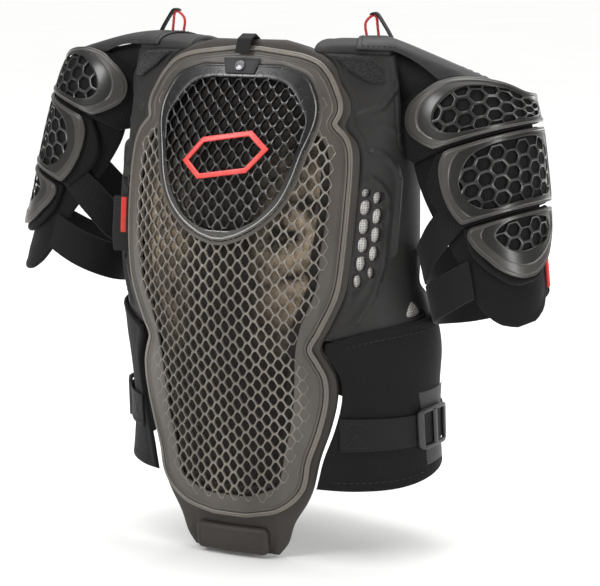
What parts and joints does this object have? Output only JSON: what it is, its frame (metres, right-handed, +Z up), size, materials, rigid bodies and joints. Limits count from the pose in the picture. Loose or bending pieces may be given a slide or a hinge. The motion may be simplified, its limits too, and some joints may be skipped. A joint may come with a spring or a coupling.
{
  "type": "off-road body armour",
  "caption": "Wearable upper-body protector: pierced back plate on a foam shell, side panels, chest plate, waist belt and plated upper-arm guards.",
  "frame": {"origin": "where the garment hangs on its wearer, between the shoulder tops", "axes": "+Z up along the wearer's spine, +Y the way the wearer faces, +X to the wearer's right arm"},
  "size_m": [0.6256, 0.2585, 0.5769],
  "materials": {
    "foam": "matt moulded foam",
    "fabric": "woven and neoprene",
    "mesh": "open knit",
    "smoked": "satin",
    "black": "gloss",
    "arm_plate": "gloss",
    "red": "satin",
    "rubber": "matt",
    "metal": "dark"
  },
  "bodies": {
    "root": {"back_shell": "foam", "back_plate": "smoked", "plate_welt": "smoked", "plate_insert": "black", "badge": "red", "lumbar_pad": "foam", "snap_patch": "fabric", "snap_button": "metal", "collar_tab": "fabric", "side_tag": "fabric", "belt": "fabric", "belt_closure": "fabric", "front_shell": "foam", "chest_plate": "smoked", "side_panel_right": "foam", "vent_mesh_right": "mesh", "rib_outer_right": "foam", "rib_inner_right": "foam", "side_strap_right": "fabric", "buckle_right": "rubber", "shoulder_bridge_right": "foam", "shoulder_flap_right": "rubber", "pull_loop_right": "red", "cap_band_right": "fabric", "hook_patch_right": "fabric", "sleeve_right": "fabric", "cap_cushion_right": "fabric", "upper_cushion_right": "fabric", "lower_cushion_right": "fabric", "cap_plate_right": "arm_plate", "upper_plate_right": "arm_plate", "lower_plate_right": "arm_plate", "upper_strap_right": "fabric", "lower_strap_right": "fabric", "arm_tag_right": "red", "side_panel_left": "foam", "vent_mesh_left": "mesh", "rib_outer_left": "foam", "rib_inner_left": "foam", "side_strap_left": "fabric", "buckle_left": "rubber", "shoulder_bridge_left": "foam", "shoulder_flap_left": "rubber", "pull_loop_left": "red", "cap_band_left": "fabric", "hook_patch_left": "fabric", "sleeve_left": "fabric", "cap_cushion_left": "fabric", "upper_cushion_left": "fabric", "lower_cushion_left": "fabric", "cap_plate_left": "arm_plate", "upper_plate_left": "arm_plate", "lower_plate_left": "arm_plate", "upper_strap_left": "fabric", "lower_strap_left": "fabric", "arm_tag_left": "red"}
  },
  "joints": []
}
